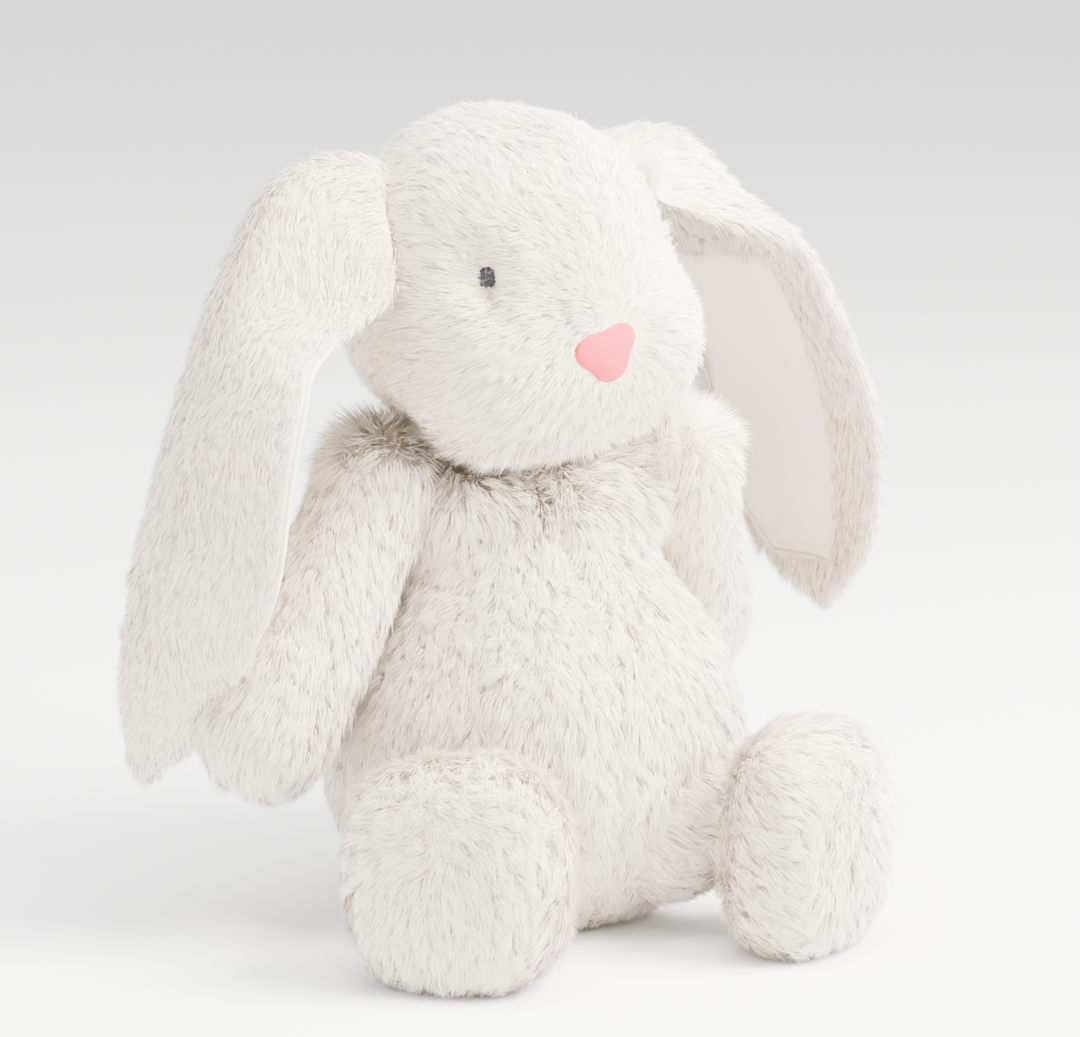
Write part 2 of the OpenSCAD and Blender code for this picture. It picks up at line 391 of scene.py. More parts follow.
def addNode(tree, kind, **values):
    node = tree.nodes.new(kind)
    for key, value in values.items():
        if key in node.inputs:
            node.inputs[key].default_value = value
        else:
            setattr(node, key, value)
    return node


def makePatches():
    # Shared effect: soft cloudy patches between 0 and 1, and a fine fibre grain for bump and roughness
    group = bpy.data.node_groups.new("fibrePatches", "ShaderNodeTree")
    for name, value in (("Patch Size", 30.0), ("Grain Size", 900.0)):
        socket = group.interface.new_socket(name, in_out="INPUT", socket_type="NodeSocketFloat")
        socket.default_value = value
    for name in ("Patch", "Grain"):
        group.interface.new_socket(name, in_out="OUTPUT", socket_type="NodeSocketFloat")
    start, end = group.nodes.new("NodeGroupInput"), group.nodes.new("NodeGroupOutput")
    place = group.nodes.new("ShaderNodeTexCoord")
    for name, detail in (("Patch", 3.0), ("Grain", 2.0)):
        noise = addNode(group, "ShaderNodeTexNoise", Detail=detail)
        group.links.new(place.outputs["Object"], noise.inputs["Vector"])
        group.links.new(start.outputs[f"{name} Size"], noise.inputs["Scale"])
        group.links.new(noise.outputs["Fac"], end.inputs[name])
    return group


patches = makePatches()


def tinted(tree, patch, low, high):
    # Colour that wanders between two tints with the patches
    mix = tree.nodes.new("ShaderNodeMix")
    mix.data_type = "RGBA"
    mix.inputs["A"].default_value = (*low, 1)
    mix.inputs["B"].default_value = (*high, 1)
    tree.links.new(patch, mix.inputs["Factor"])
    return mix.outputs["Result"]


def placePatches(tree, patchSize, grainSize):
    effect = tree.nodes.new("ShaderNodeGroup")
    effect.node_tree = patches
    effect.inputs["Patch Size"].default_value = patchSize
    effect.inputs["Grain Size"].default_value = grainSize
    return effect


def pileMaterial(name, root, tipCool, tipWarm, shade, sheen=0.2, roughness=0.75):
    # Root to tip colour, the darker warm root colour being painted shade of the pile's depth, with a
    # wandering tip tint and a slightly different brightness for every strand
    material, tree, shader = newMaterial(name, roughness, sheen, 0.6, 0.15)
    effect = placePatches(tree, 38.0, 700.0)
    tip = tinted(tree, effect.outputs["Patch"], tipCool, tipWarm)
    # Painted shade: the colour darkens and warms towards each strand's root, standing in for shade deep in
    # the pile
    rootShadeToTip = addNode(tree, "ShaderNodeAttribute", attribute_name="rootShadeToTip")
    mix = tree.nodes.new("ShaderNodeMix")
    mix.data_type = "RGBA"
    mix.inputs["A"].default_value = (*root, 1)
    tree.links.new(rootShadeToTip.outputs["Fac"], mix.inputs["Factor"])
    tree.links.new(tip, mix.inputs["B"])
    strand = addNode(tree, "ShaderNodeAttribute", attribute_name="strand")
    level = addNode(tree, "ShaderNodeMapRange")
    level.inputs["To Min"].default_value, level.inputs["To Max"].default_value = shade
    tree.links.new(strand.outputs["Fac"], level.inputs["Value"])
    colour = addNode(tree, "ShaderNodeHueSaturation")
    tree.links.new(level.outputs["Result"], colour.inputs["Value"])
    tree.links.new(mix.outputs["Result"], colour.inputs["Color"])
    tree.links.new(colour.outputs["Color"], shader.inputs["Base Color"])
    return material


def clothMaterial(name, low, high, grainSize, bump, roughness=0.85, sheen=0.3):
    material, tree, shader = newMaterial(name, roughness, sheen, 0.4, 0.2)
    effect = placePatches(tree, 45.0, grainSize)
    colour = tinted(tree, effect.outputs["Patch"], low, high)
    tree.links.new(colour, shader.inputs["Base Color"])
    height = addNode(tree, "ShaderNodeBump", Strength=bump, Distance=0.0004)
    tree.links.new(effect.outputs["Grain"], height.inputs["Height"])
    tree.links.new(height.outputs["Normal"], shader.inputs["Normal"])
    return material


# Fur pile: the root colour is painted shade of the pile's depth; the tips are the fur's own cream
furPileWithRootShade = pileMaterial("furPileWithRootShade", (0.87, 0.71, 0.53), (0.94, 0.868, 0.77), (0.95, 0.848, 0.715),
                       (0.95, 1.03))
# Backing fabric: its beige is partly the fabric's own colour and partly painted shade of the pile's depth,
# seen through gaps between strands
furBackingWithDepthShade = clothMaterial("furBackingWithDepthShade", (0.88, 0.76, 0.62), (0.90, 0.79, 0.66), 1400.0, 0.4)
earVelour = clothMaterial("earVelour", (0.86, 0.75, 0.62), (0.89, 0.79, 0.67), 1600.0, 0.5, 0.9, 0.5)
# Nose pile: the darker root colour is painted shade of the pile's depth; the tips are the nose's own pink
nosePileWithRootShade = pileMaterial("nosePileWithRootShade", (0.56, 0.03, 0.05), (0.74, 0.07, 0.11), (0.70, 0.05, 0.085),
                        (0.88, 1.06), 0.0)
noseVelour = clothMaterial("noseVelour", (0.62, 0.04, 0.07), (0.66, 0.055, 0.09), 1600.0, 0.4, 0.9, 0.0)
eyeThread = clothMaterial("eyeThread", (0.012, 0.012, 0.015), (0.05, 0.05, 0.055), 2500.0, 0.6, 0.55, 0.1)
eyeHighlightThread = clothMaterial("eyeHighlightThread", (0.06, 0.06, 0.065), (0.13, 0.13, 0.135),
                                   2500.0, 0.6, 0.5, 0.1)
sewingThread = clothMaterial("sewingThread", (0.82, 0.79, 0.73), (0.88, 0.85, 0.80), 3000.0, 0.6, 0.6, 0.1)
fibreFilling = clothMaterial("fibreFilling", (0.90, 0.90, 0.89), (0.95, 0.95, 0.94), 500.0, 1.0, 0.95, 0.2)
pelletCloth = clothMaterial("pelletCloth", (0.72, 0.70, 0.65), (0.80, 0.78, 0.74), 2200.0, 0.7)
print("materials made")


# Pile: every strand is a thin bent blade of two triangles

piles = {
    "body": dict(length=8.0, lift=30, width=0.25, perArea=5.0, clump=3.6, gather=0.20, stray=0.20),
    "head": dict(length=6.8, lift=27, width=0.24, perArea=5.2, clump=3.4, gather=0.15, stray=0.16),
    "arm": dict(length=8.0, lift=30, width=0.25, perArea=5.0, clump=3.6, gather=0.20, stray=0.22),
    "leg": dict(length=8.0, lift=31, width=0.25, perArea=5.0, clump=3.6, gather=0.20, stray=0.22),
    "ear": dict(length=7.0, lift=24, width=0.27, perArea=2.8, clump=3.8, gather=0.18, stray=0.16),
    "tail": dict(length=11, lift=50, width=0.30, perArea=6.0, clump=4.0, gather=0.35, stray=0.5),
    "nose": dict(length=1.3, lift=50, width=0.18, perArea=10.0, clump=2.0, gather=0.15, stray=0.3),
}


def scatter(points, normals, triangles, perArea, rng):
    # Random places on the triangles, even by area, with their smooth normals
    a, b, c = (points[triangles[:, i]] for i in range(3))
    area = np.linalg.norm(np.cross(b - a, c - a), axis=1) / 2
    count = int(area.sum() * perArea)
    pick = rng.choice(len(triangles), count, p=area / area.sum())
    u, v = rng.random(count), rng.random(count)
    flip = u + v > 1
    u[flip], v[flip] = 1 - u[flip], 1 - v[flip]
    weights = np.stack([1 - u - v, u, v], 1)
    corner = triangles[pick]
    place = (points[corner] * weights[..., None]).sum(1)
    normal = unit((normals[corner] * weights[..., None]).sum(1))
    return place, normal


def groupMeans(ids, values):
    sums = np.stack([np.bincount(ids, values[:, i]) for i in range(3)], 1)
    return (sums / np.maximum(np.bincount(ids), 1)[:, None])[ids]


def growStrands(root, normal, comb, pile, seed, scale=None, fluff=0.0):
    rng = np.random.default_rng(seed)
    n = len(root)
    scale = np.ones(n) if scale is None else scale
    warp = np.stack([drift(root, 14, seed + k) for k in (1, 2, 3)], 1) * pile["clump"] * 0.5
    cell = np.floor((root + warp) / pile["clump"]).astype(int)
    ids = np.unique(cell, axis=0, return_inverse=True)[1].ravel()
    groups = ids.max() + 1
    sway = (rng.normal(size=(groups, 3)) * pile["stray"])[ids]
    sway += rng.normal(size=(n, 3)) * pile["stray"] * 0.6
    sway += np.stack([drift(root, 20, seed + k) for k in (5, 6, 7)], 1) * 0.35
    along = comb + sway
    along = unit(along - (along * normal).sum(1)[:, None] * normal)
    rise = np.radians(pile["lift"] + fluff) + rng.normal(size=n) * 0.14
    rise += (rng.normal(size=groups) * 0.13)[ids]
    length = pile["length"] * scale * (0.72 + 0.5 * rng.random(n))
    length *= 1 + (rng.normal(size=groups) * 0.10)[ids]

    def heading(angle):
        angle = np.clip(angle, 0.05, 1.45)[:, None]
        return unit(np.sin(angle) * normal + np.cos(angle) * along)

    first, second = heading(rise + 0.32), heading(rise - 0.38)
    base = root - 0.8 * normal
    middle = base + first * length[:, None] * 0.5
    tip = middle + second * length[:, None] * 0.55
    tip += (groupMeans(ids, tip) - tip) * pile["gather"]
    middle += (groupMeans(ids, middle) - middle) * pile["gather"] * 0.35
    direction = unit(tip - base)
    side = unit(np.cross(direction, normal))
    roll = rng.normal(size=n)[:, None] * 0.55
    side = side * np.cos(roll) + np.cross(direction, side) * np.sin(roll)
    half = (pile["width"] * (0.7 + 0.6 * rng.random(n)) / 2)[:, None] * side
    verts = np.stack([base, middle - half, middle + half, tip], 1)
    verts[..., 2] = np.maximum(verts[..., 2], 0.25)
    face = unit(np.cross(half, direction))
    soft = unit(0.92 * normal + 0.16 * face + 0.05 * rng.normal(size=(n, 3)))
    bent = unit(soft + 0.22 * second)
    shading = np.stack([soft, soft, soft, bent], 1)
    # 0 at the root, where the painted shade colour sits, up to 1 at the tip
    rootShadeToTip = np.tile(np.array([0.0, 0.75, 0.75, 1.0]), (n, 1))
    shade = rng.normal(0.5, 0.2, n) + 0.15 * rng.normal(size=groups)[ids]
    strand = np.repeat(np.clip(shade, 0, 1)[:, None], 4, 1)
    return verts, shading, rootShadeToTip, strand


def furPiece(name, skin, strands, skinMaterial, strandMaterial):
    # One mesh of the sewn fabric and all its strands
    verts, shading, rootShadeToTip, strand = strands
    n = len(verts)
    source = skin.data
    skinPoints = pointsOf(source)
    k = len(skinPoints)
    normals = np.empty(k * 3, np.float32)
    source.vertex_normals.foreach_get("vector", normals)
    sizes = np.empty(len(source.polygons), np.int32)
    source.polygons.foreach_get("loop_total", sizes)
    skinLoops = np.empty(len(source.loops), np.int32)
    source.loops.foreach_get("vertex_index", skinLoops)
    strandLoops = (k + np.arange(n)[:, None] * 4 + np.array([0, 2, 1, 1, 2, 3])).ravel()
    loops = np.concatenate([skinLoops, strandLoops]).astype(np.int32)
    totals = np.concatenate([sizes, np.full(2 * n, 3)]).astype(np.int32)
    points = np.concatenate([skinPoints, verts.reshape(-1, 3)])
    mesh = bpy.data.meshes.new(name)
    mesh.vertices.add(len(points))
    mesh.vertices.foreach_set("co", (points * mm).astype(np.float32).ravel())
    mesh.loops.add(len(loops))
    mesh.loops.foreach_set("vertex_index", loops)
    mesh.polygons.add(len(totals))
    mesh.polygons.foreach_set("loop_start", np.concatenate([[0], np.cumsum(totals)[:-1]]).astype(np.int32))
    mesh.polygons.foreach_set("loop_total", totals)
    mesh.polygons.foreach_set("material_index", np.repeat([0, 1], [len(sizes), 2 * n]).astype(np.int32))
    mesh.update(calc_edges=True)
    mesh.shade_smooth()
    for label, values in (("rootShadeToTip", rootShadeToTip), ("strand", strand)):
        attribute = mesh.attributes.new(label, "FLOAT", "POINT")
        everywhere = np.concatenate([np.full(k, 0.3), values.ravel()])
        attribute.data.foreach_set("value", everywhere.astype(np.float32))
    allNormals = np.concatenate([normals.reshape(-1, 3), shading.reshape(-1, 3)])
    mesh.normals_split_custom_set_from_vertices(allNormals.tolist())
    mesh.materials.append(skinMaterial)
    mesh.materials.append(strandMaterial)
    obj = bpy.data.objects.new(name, mesh)
    bpy.context.scene.collection.objects.link(obj)
    old = skin.data
    bpy.data.objects.remove(skin)
    bpy.data.meshes.remove(old)
    print("piece", name, "strands", n)
    return obj


# Fabric panels, cut from the covers along their seams

def cutPanel(key, planes, inside):
    # Cuts a cover along planes given in its own frame and keeps the faces that are inside
    form = forms[key]
    place = form["place"]
    bm = bmesh.new()
    bm.from_mesh(form["obj"].data)
    for point, normal in planes:
        spot = Vector(place.out(np.array([point], float))[0] * mm)
        facing = Vector(place.turn @ np.array(normal, float))
        everything = bm.verts[:] + bm.edges[:] + bm.faces[:]
        bmesh.ops.bisect_plane(bm, geom=everything, plane_co=spot, plane_no=facing)
    bm.normal_update()
    centres = place.back(np.array([f.calc_center_median() for f in bm.faces]) / mm)
    keep = inside(centres)
    smooth = np.array([v.normal for v in bm.verts])
    layer = bm.verts.layers.float_vector.new("smoothNormal")
    for v, value in zip(bm.verts, smooth):
        v[layer] = value
    bmesh.ops.delete(bm, geom=[f for f, k in zip(bm.faces, keep) if not k], context="FACES")
    bmesh.ops.triangulate(bm, faces=bm.faces[:])
    mesh = bpy.data.meshes.new(key)
    bm.to_mesh(mesh)
    bm.free()
    obj = bpy.data.objects.new(key, mesh)
    bpy.context.scene.collection.objects.link(obj)
    return obj


def skinData(obj):
    mesh = obj.data
    triangles = np.empty(len(mesh.polygons) * 3, np.int32)
    mesh.polygons.foreach_get("vertices", triangles)
    normals = np.empty(len(mesh.vertices) * 3, np.float32)
    mesh.attributes["smoothNormal"].data.foreach_get("vector", normals)
    return pointsOf(mesh), normals.reshape(-1, 3).astype(float), triangles.reshape(-1, 3)


def thicken(obj, thickness=1.2):
    solid = obj.modifiers.new("backing", "SOLIDIFY")
    solid.thickness = thickness * mm
    solid.offset = -1
    return bakeModifiers(obj)


noseSpot = np.array([0, -58.0, -17.0])
neck = {"from": {"body": 134, "arm": 156}, "over": 12, "lift": 40, "longer": 0.6}


def combDown(p, local, normal):
    return np.tile([0, 0, -1.0], (len(p), 1)) + 0.25 * unit(normal * (1, 1, 0))


def combHead(p, local, normal):
    # The pile runs outwards from the nose and then falls, and parts round the eyes
    out = unit(local - noseSpot) * 1.0
    out[:, 2] -= 0.35 + 0.9 * np.clip(local[:, 1] / 35, 0, 1)
    for side in sides.values():
        away = local - np.array(dimples["eye"]) * (side, 1, 1)
        out += 1.5 * unit(away) * hump(np.linalg.norm(away, axis=1), 7)[:, None]
    return out @ headTurn.T


def combAlong(direction, droop=0.5):
    def comb(p, local, normal):
        return np.tile(unit(np.array(direction, float)), (len(p), 1)) + np.array([0, 0, -droop])
    return comb


def combFoot(side):
    # Down the leg on its sides, and outwards and down over the sole
    place = legPlaces[side]

    def comb(p, local, normal):
        sole = np.array([0, -leg["footOut"] - leg["footHalfThick"], 8.0])
        spread = unit(local - sole)
        onSole = hump(np.maximum(local[:, 1] + leg["footOut"] + 18, 0), 6)[:, None]
        way = (1 - onSole) * np.array([0, -0.9, -0.45]) + onSole * (0.6 * spread + np.array([0, 0, -0.6]))
        return way @ place.turn.T
    return comb


nose = dict(height=-18.5, radius=10.0, corners=1.7, wide=1.2, tall=0.92, dome=2.2, turn=0.27)


def noseEdge(turn):
    # The outline of a rounded triangle that points down
    return nose["radius"] + nose["corners"] * np.cos(3 * (turn + math.pi / 2 - nose["turn"]))


def noseShare(local):
    # 1 on the edge of the nose patch, less inside it
    x, z = local[:, 0] / nose["wide"], (local[:, 2] - nose["height"]) / nose["tall"]
    return np.hypot(x, z) / noseEdge(np.arctan2(z, x))


def headLength(local):
    # Shorter pile round the nose and the eyes, and none where they are
    scale = np.clip((noseShare(local) - 1) * 0.9 + 0.45, 0.4, 1.0)
    scale[(local[:, 1] > -40)] = 1.0
    for side in sides.values():
        near = np.linalg.norm(local - np.array(dimples["eye"]) * (side, 1, 1), axis=1)
        scale = np.minimum(scale, np.clip((near - 3.0) / 9, 0.3, 1.0))
        scale[near < 4.2] = 0
    scale[(noseShare(local) < 0.93) & (local[:, 1] < -40)] = 0
    return scale


bodyCuts = [((0, 0, 0), (1, 0, 0)), ((0, 0, 0), (0, 1, 0))]
headCuts = [((g, 0, 0), (1, 0, 0)) for g in (-head["gusset"], head["gusset"])]
headCuts.append(((0, 0, head["chinTop"]), (0, 0, 1)))


def onSeat(p):
    world = bodyPlace.out(p)
    return (np.hypot(world[:, 0], world[:, 1]) < body["seatR"]) & (world[:, 2] < 8)


def underChin(p):
    return (p[:, 2] < head["chinTop"]) & (p[:, 1] < head["chinBack"])


panels = [dict(name="seatPanel", form="body", body="torso", nodes=["seat_panel"], cuts=bodyCuts,
               inside=onSeat, comb=combDown, short=0.35)]
for s, side in sides.items():
    for word, sign in (("belly", -1), ("back", 1)):
        panels.append(dict(
            name=f"{word}{s.title()}", form="body", body="torso", nodes=[f"{word}_{s}"], cuts=bodyCuts,
            inside=lambda p, side=side, sign=sign: (p[:, 0] * side > 0) & (p[:, 1] * sign > 0) & ~onSeat(p),
            comb=combDown))
    panels.append(dict(
        name=f"headSide{s.title()}", form="head", body="head", nodes=[f"head_side_{s}"], cuts=headCuts,
        inside=lambda p, side=side: p[:, 0] * side > head["gusset"], comb=combHead))
    armWay = aimed(armDirections[s])[:, 2]
    for word, sign in (("Front", 1), ("Back", -1)):
        panels.append(dict(
            name=f"arm{word}{s.title()}", form=f"arm_{s}", body=f"arm_{s}",
            nodes=[f"arm_{word.lower()}_{s}"], cuts=[((0, 0, 0), (0, 1, 0))],
            inside=lambda p, sign=sign: p[:, 1] * sign > 0, comb=combAlong(armWay)))
    for word, sign in (("Top", 1), ("Under", -1)):
        panels.append(dict(
            name=f"leg{word}{s.title()}", form=f"leg_{s}", body=f"leg_{s}",
            nodes=[f"leg_{word.lower()}_{s}"], cuts=[((0, 0, 0), (0, 0, 1)), ((0, soleAt, 0), (0, 1, 0))],
            inside=lambda p, sign=sign: (p[:, 2] * sign > 0) & (p[:, 1] > soleAt), comb=combFoot(s)))
    panels.append(dict(
        name=f"footSole{s.title()}", form=f"leg_{s}", body=f"leg_{s}", nodes=[f"foot_sole_{s}"],
        cuts=[((0, soleAt, 0), (0, 1, 0))], inside=lambda p: p[:, 1] < soleAt, comb=combFoot(s)))
panels.append(dict(
    name="headGusset", form="head", body="head", nodes=["head_gusset"], cuts=headCuts, comb=combHead,
    inside=lambda p: (np.abs(p[:, 0]) < head["gusset"]) & ~underChin(p)))
panels.append(dict(
    name="chinPanel", form="head", body="head", nodes=["chin_panel"], cuts=headCuts, comb=combHead,
    inside=lambda p: (np.abs(p[:, 0]) < head["gusset"]) & underChin(p)))
panels.append(dict(
    name="tailCover", form="tail", body="tail", nodes=["tail_cover"], cuts=[], comb=combDown,
    inside=lambda p: np.ones(len(p), bool)))


def neckShare(kind, root, local):
    # The pile stands up, longer, where head and body meet, and fills the fold between them
    if kind in neck["from"]:
        return np.clip((root[:, 2] - neck["from"][kind]) / neck["over"], 0, 1)
    if kind == "head":
        return np.clip((-40 - local[:, 2]) / neck["over"], 0, 1)
    return np.zeros(len(root))


def makePanel(spec, seed):
    form = forms[spec["form"]]
    kind = spec["form"].split("_")[0]
    skin = cutPanel(spec["form"], spec["cuts"], spec["inside"])
    points, normals, triangles = skinData(skin)
    rng = np.random.default_rng(seed)
    pile = piles[kind]
    root, normal = scatter(points, normals, triangles, pile["perArea"], rng)
    local = form["place"].back(root)
    scale = np.full(len(root), spec.get("short", 1.0))
    if kind == "head":
        scale = headLength(local)
    keep = scale > 0.05
    root, normal, local, scale = root[keep], normal[keep], local[keep], scale[keep]
    comb = spec["comb"](root, local, normal)
    share = neckShare(kind, root, local)
    scale = scale * (1 + neck["longer"] * share)
    strands = growStrands(root, normal, comb, pile, seed, scale, neck["lift"] * share)
    piece = furPiece(spec["name"], thicken(skin), strands, furBackingWithDepthShade, furPileWithRootShade)
    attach(piece, spec["body"])
    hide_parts(*spec["nodes"])
    return piece


for number, spec in enumerate(panels):
    makePanel(spec, 100 + number)
print("panels made")


# Ears: long flat pillows of fur and velour, cupped and folded over

ear = dict(pivotOut=68.5, rootAngle=46, foldR=38, rise=18, fold=54, hangR=260, rows=96, columns=56,
           thick=4.2, seatGap=2.5, sinkAt=8, sinkLength=36)
# Edges are stations of length from the root and distance back from the ear's middle
earEdges = {
    "right": dict(
        front=[(-20, -2), (0, -2), (20, -5), (40, -11), (60, -16), (80, -19), (105, -32), (150, -35),
               (180, -28), (207, -9), (232, 14), (246, 34)],
        rear=[(-20, 28), (0, 30), (20, 30), (40, 30), (60, 30), (80, 31), (105, 33), (150, 41),
              (190, 49), (220, 54), (240, 50), (248, 40)],
        cupFront=13, cupRear=9, ridge=0.5, sink=4.5, seated=58, free=100, drop=5,
        lining=(0.0, 0.93), start=84, end=236),
    "left": dict(
        front=[(-20, -16), (0, -19), (20, -25), (40, -31), (60, -37), (80, -41), (105, -45), (140, -48),
               (172, -47), (200, -38), (221, -23), (232, -6)],
        rear=[(-20, 22), (0, 26), (20, 32), (40, 38), (60, 45), (80, 49), (105, 52), (140, 53),
              (172, 49), (198, 38), (220, 16), (231, 0)],
        cupFront=9, cupRear=8, ridge=0.5, sink=10, seated=30, free=82, drop=6,
        lining=(0.30, 0.94), start=88, end=216),
}


def smoothPath(points, count):
    # Evenly numbered places on a smooth curve through a few points
    p = np.array(points, float)
    p = np.concatenate([2 * p[:1] - p[1:2], p, 2 * p[-1:] - p[-2:-1]])
    t = np.linspace(0, len(points) - 1, count)
    i = np.minimum(t.astype(int), len(points) - 2)
    f = (t - i)[:, None]
    a, b, c, d = p[i], p[i + 1], p[i + 2], p[i + 3]
    square, cube = 2 * a - 5 * b + 4 * c - d, 3 * b - a - 3 * c + d
    return 0.5 * (2 * b + (c - a) * f + square * f ** 2 + cube * f ** 3)


def earCurve(s):
    # Side view of an ear in the head's frame: place and outward direction at a length s from its pivot
    a = math.radians(ear["rootAngle"])
    pivot = ear["pivotOut"] * np.array([math.sin(a), math.cos(a)])
    r = math.radians(ear["rise"])
    foldCentre = pivot + ear["foldR"] * np.array([math.sin(r), -math.cos(r)])
    down = math.radians(90 - ear["fold"])
    hangCentre = foldCentre - (ear["hangR"] - ear["foldR"]) * np.array([math.cos(down), math.sin(down)])
    foldEnd = ear["foldR"] * math.radians(ear["rise"] + ear["fold"])
    angle = np.where(s < foldEnd, math.pi / 2 + r - s / ear["foldR"], down - (s - foldEnd) / ear["hangR"])
    outward = np.stack([np.cos(angle), np.sin(angle)], -1)
    centre = np.where((s < foldEnd)[..., None], foldCentre, hangCentre)
    radius = np.where(s < foldEnd, ear["foldR"], ear["hangR"])
    return centre + radius[..., None] * outward, outward


def seatEdge(local, lengths, v, spec):
    # Near the root, the front edge is drawn in until it lies on the side of the head
    edge = local[:, 0].copy()
    rest = edge.copy()
    rest[:, 2] -= spec["drop"]
    near, far = np.zeros(len(rest)), np.full(len(rest), 95.0)
    sign = np.sign(edge[:, 0])
    for _ in range(20):
        middle = (near + far) / 2
        rest[:, 0] = sign * middle
        inside = headField(rest) < ear["seatGap"]
        near, far = np.where(inside, middle, near), np.where(inside, far, middle)
    share = np.clip((spec["free"] - lengths) / (spec["free"] - spec["seated"]), 0, 1)
    share = share * share * (3 - 2 * share)
    towards = np.clip((spec["ridge"] - v) / spec["ridge"], 0, 1) ** 2.0
    return local + (share[:, None] * (rest - edge))[:, None, :] * towards[None, :, None]


def makeEar(s, seed):
    side = sides[s]
    spec = earEdges[s]
    rows, columns = ear["rows"], ear["columns"]
    front = smoothPath(spec["front"], rows)
    rear = smoothPath(spec["rear"], rows)
    # Round the section: 0 is the front edge, pi the rear edge, with the outer side between them
    turn = np.linspace(0, math.tau, columns, endpoint=False)
    v = (1 - np.cos(turn)) / 2
    flat = front[:, None] * (1 - v)[None, :, None] + rear[:, None] * v[None, :, None]
    ridge = spec["ridge"]
    bend = np.where(v < ridge, (ridge - v) / ridge, (v - ridge) / (1 - ridge))
    depth = np.where(v < ridge, spec["cupFront"], spec["cupRear"]) * bend ** 1.7
    t = np.linspace(0, 1, rows)[:, None]
    open_ = np.clip(t * 3.2, 0.25, 1) * np.clip((1.04 - t) * 7, 0.35, 1)
    taper = np.clip((1.012 - t) * 12, 0.12, 1) ** 0.5
    off = ear["thick"] * np.sin(turn)[None, :] * taper - depth[None, :] * open_
    off -= spec["sink"] * hump(flat[..., 0] - ear["sinkAt"], ear["sinkLength"])
    place2d, outward = earCurve(flat[..., 0])
    spread = np.concatenate([flat.reshape(-1, 2), np.zeros((rows * columns, 1))], 1)
    off = off + 1.3 * drift(spread, 34, seed).reshape(off.shape)
    xz = place2d + off[..., None] * outward
    local = np.stack([xz[..., 0] * side, flat[..., 1], xz[..., 1]], -1)
    local = seatEdge(local, flat[:, 0, 0], v, spec)
    world = headPlace.out(local.reshape(-1, 3)).reshape(rows, columns, 3)
    grid = np.arange(rows * columns).reshape(rows, columns)
    inner = (turn[None, :] > math.pi) & (v[None, :] > spec["lining"][0]) & (v[None, :] < spec["lining"][1])
    if s == "right":
        inner |= (turn[None, :] < 0.12) | (turn[None, :] > math.tau - 0.3)
    lengthwise = flat[..., 0]
    lining = inner & (lengthwise > spec["start"]) & (lengthwise < spec["end"])
    nextRow, nextColumn = np.arange(1, rows), np.roll(np.arange(columns), -1)
    quads, isLining = [], []
    for i in range(rows - 1):
        for j in range(columns):
            k = nextColumn[j]
            quad = [grid[i, j], grid[i, k], grid[nextRow[i], k], grid[nextRow[i], j]]
            quads.append(quad if side < 0 else quad[::-1])
            isLining.append(lining[i, j] and lining[i + 1, j])
    caps = [list(grid[0]), list(grid[-1][::-1])]
    quads += [c if side > 0 else c[::-1] for c in caps]
    isLining += [False, False]
    flatPoints = world.reshape(-1, 3)
    whole = meshFrom("earWhole", flatPoints, [[int(k) for k in q] for q in quads])
    normals = np.empty(len(flatPoints) * 3, np.float32)
    whole.data.vertex_normals.foreach_get("vector", normals)
    normals = normals.reshape(-1, 3).astype(float)
    bpy.data.objects.remove(whole)
    lengthWay = np.gradient(world, axis=0).reshape(-1, 3)
    back = partOf(f"earBack{s.title()}Skin", flatPoints, normals,
                  [q for q, inside in zip(quads, isLining) if not inside])
    smoothSide = partOf(f"earLining{s.title()}", flatPoints - 0.5 * normals, normals,
                        [q for q, inside in zip(quads, isLining) if inside])
    points, smooth, triangles = skinData(back)
    rng = np.random.default_rng(seed)
    root, normal = scatter(points, smooth, triangles, piles["ear"]["perArea"], rng)
    nearest = nearestRow(root, world)
    comb = unit(lengthWay.reshape(rows, columns, 3).mean(1))[nearest] + np.array([0, 0, -0.15])
    scale = np.where(nearest < 8, 0.8, 1.0)
    strands = growStrands(root, normal, comb, piles["ear"], seed, scale)
    piece = furPiece(f"earBack{s.title()}", thicken(back, 0.9), strands, furBackingWithDepthShade, furPileWithRootShade)
    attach(piece, f"ear_{s}")
    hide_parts(f"ear_back_{s}")
    thicken(smoothSide, 0.9)
    smoothSide.name = f"earLining{s.title()}"
    smoothSide.data.materials.append(earVelour)
    smoothSide.data.shade_smooth()
    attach(smoothSide, f"ear_{s}")
    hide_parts(f"ear_lining_{s}")


def nearestRow(points, world):
    # The row of the ear's grid that each point lies closest to
    spine = world.mean(1)
    best, row = np.full(len(points), 1e9), np.zeros(len(points), int)
    for i, place in enumerate(spine):
        way = unit(spine[min(i + 1, len(spine) - 1)] - spine[max(i - 1, 0)])
        gap = np.abs((points - place) @ way) + 0.02 * np.linalg.norm(points - place, axis=1)
        closer = gap < best
        best[closer], row[closer] = gap[closer], i
    return row


def partOf(name, points, normals, faces):
    # Some of a mesh's faces as an object of their own, which keeps the whole mesh's smooth normals
    used, back = np.unique(np.concatenate([np.array(f) for f in faces]), return_inverse=True)
    sizes = [len(f) for f in faces]
    starts = np.concatenate([[0], np.cumsum(sizes)[:-1]])
    rebuilt = [[int(k) for k in back[a:a + n]] for a, n in zip(starts, sizes)]
    obj = meshFrom(name, points[used], rebuilt)
    bm = bmesh.new()
    bm.from_mesh(obj.data)
    layer = bm.verts.layers.float_vector.new("smoothNormal")
    for v, value in zip(bm.verts, normals[used]):
        v[layer] = value
    bmesh.ops.triangulate(bm, faces=bm.faces[:])
    bm.to_mesh(obj.data)
    bm.free()
    return obj


for s in sides:
    makeEar(s, 300 + sides[s])
print("ears made")


